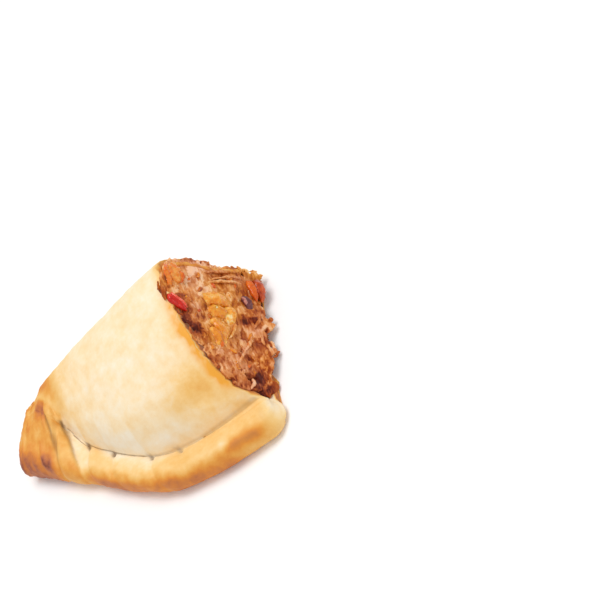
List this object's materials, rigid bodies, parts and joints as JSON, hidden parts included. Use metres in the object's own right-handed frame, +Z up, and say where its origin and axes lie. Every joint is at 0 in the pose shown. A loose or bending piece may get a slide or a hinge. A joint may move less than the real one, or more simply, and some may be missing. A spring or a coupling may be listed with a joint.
{
  "type": "half beef empanada",
  "caption": "Half of a baked half-moon turnover: smooth domed crust with a crimped edge and a blunt browned tip, cut open to show minced beef with peppers and onion.",
  "frame": {"origin": "centre of the bounding box's base, where the flat baked underside rests", "axes": "+Z up out of the flat base, +X along the fold from the closed tip to the cut, +Y from the crimped edge to the fold"},
  "size_m": [0.092, 0.0622, 0.0318],
  "materials": {
    "crust": "baked dough, satin, pale cream with golden brown edges",
    "filling": "cooked minced beef, moist, uneven",
    "red_pepper": "cooked red pepper, wet",
    "orange_pepper": "cooked orange pepper, wet",
    "onion": "fried onion, golden, translucent, wet"
  },
  "bodies": {
    "root": {"crust": "crust", "beef_filling": "filling", "red_pepper_strip": "red_pepper", "orange_pepper_upper": "orange_pepper", "orange_pepper_side": "orange_pepper", "onion_upper": "onion", "onion_lower": "onion"}
  },
  "joints": []
}
